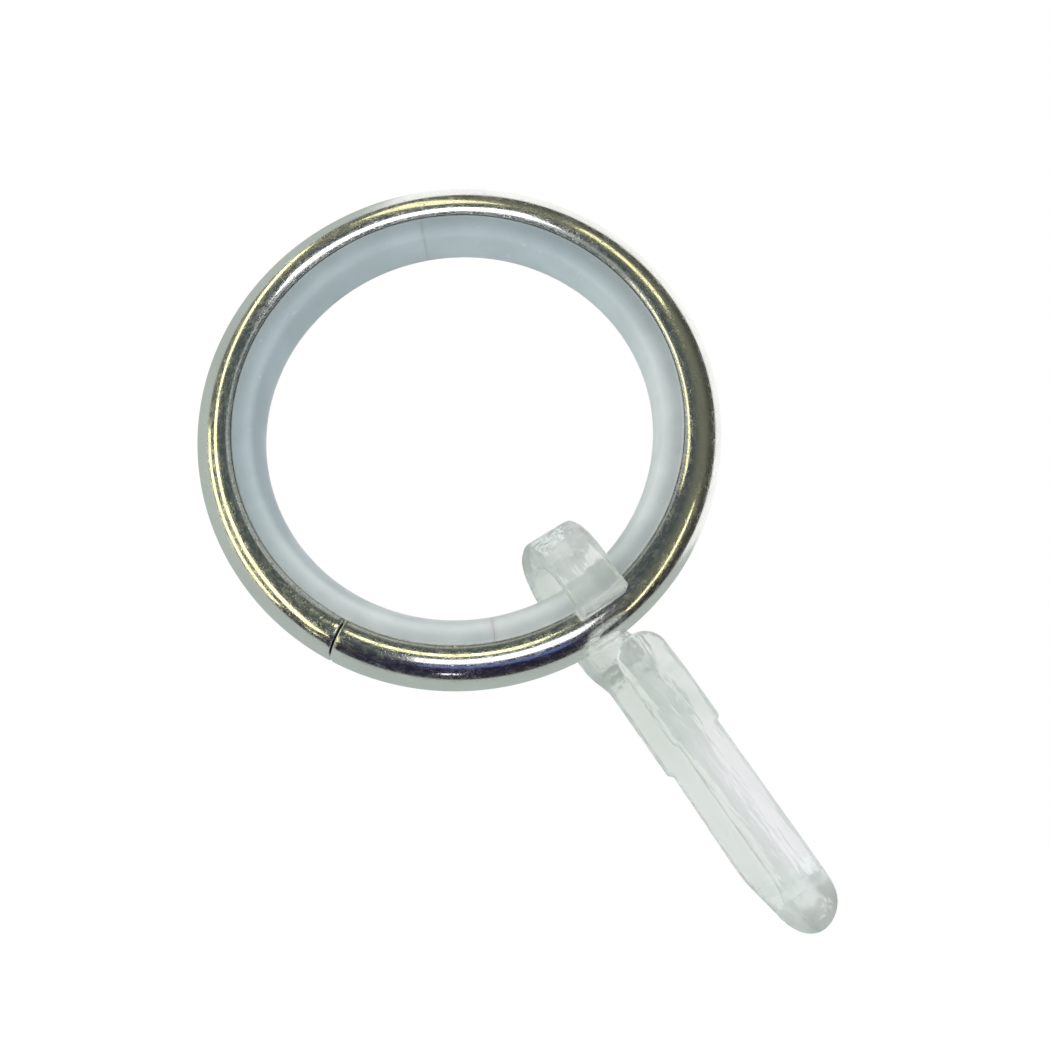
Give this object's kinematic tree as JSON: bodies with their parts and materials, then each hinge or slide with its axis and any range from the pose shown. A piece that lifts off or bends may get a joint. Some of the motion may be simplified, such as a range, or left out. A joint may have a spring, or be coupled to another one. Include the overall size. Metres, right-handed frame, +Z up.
{
  "type": "curtain ring with clip-on pleat hook",
  "caption": "Plated metal curtain ring with a plastic glide liner in its bore and a clear plastic pleat hook that is clipped loosely around the ring.",
  "frame": {"origin": "centre of the ring, on the axis of its bore and in its mid-plane", "axes": "+Y along the ring's axis, towards the back; -Y is the front, where the hook's prong is; +Z up, with the hook hanging at the bottom of the ring; +X to the right as seen from the front"},
  "size_m": [0.0404, 0.0108, 0.0667],
  "materials": {
    "plated_metal": "bright nickel-coloured plating on rolled steel strip, lightly pitted",
    "liner_plastic": "translucent bluish-white moulded plastic, satin",
    "clear_plastic": "clear moulded plastic with a faint green-grey tint, glossy"
  },
  "bodies": {
    "ring": {"metal_ring": "plated_metal", "glide_liner_left": "liner_plastic", "glide_liner_right": "liner_plastic"},
    "hook": {"pleat_hook": "clear_plastic"}
  },
  "joints": [
    {"name": "hook_slide_round", "type": "hinge", "parent": "ring", "child": "hook", "pos_m": [0, 0, 0], "axis": [0, 1, 0], "continuous": true}
  ]
}
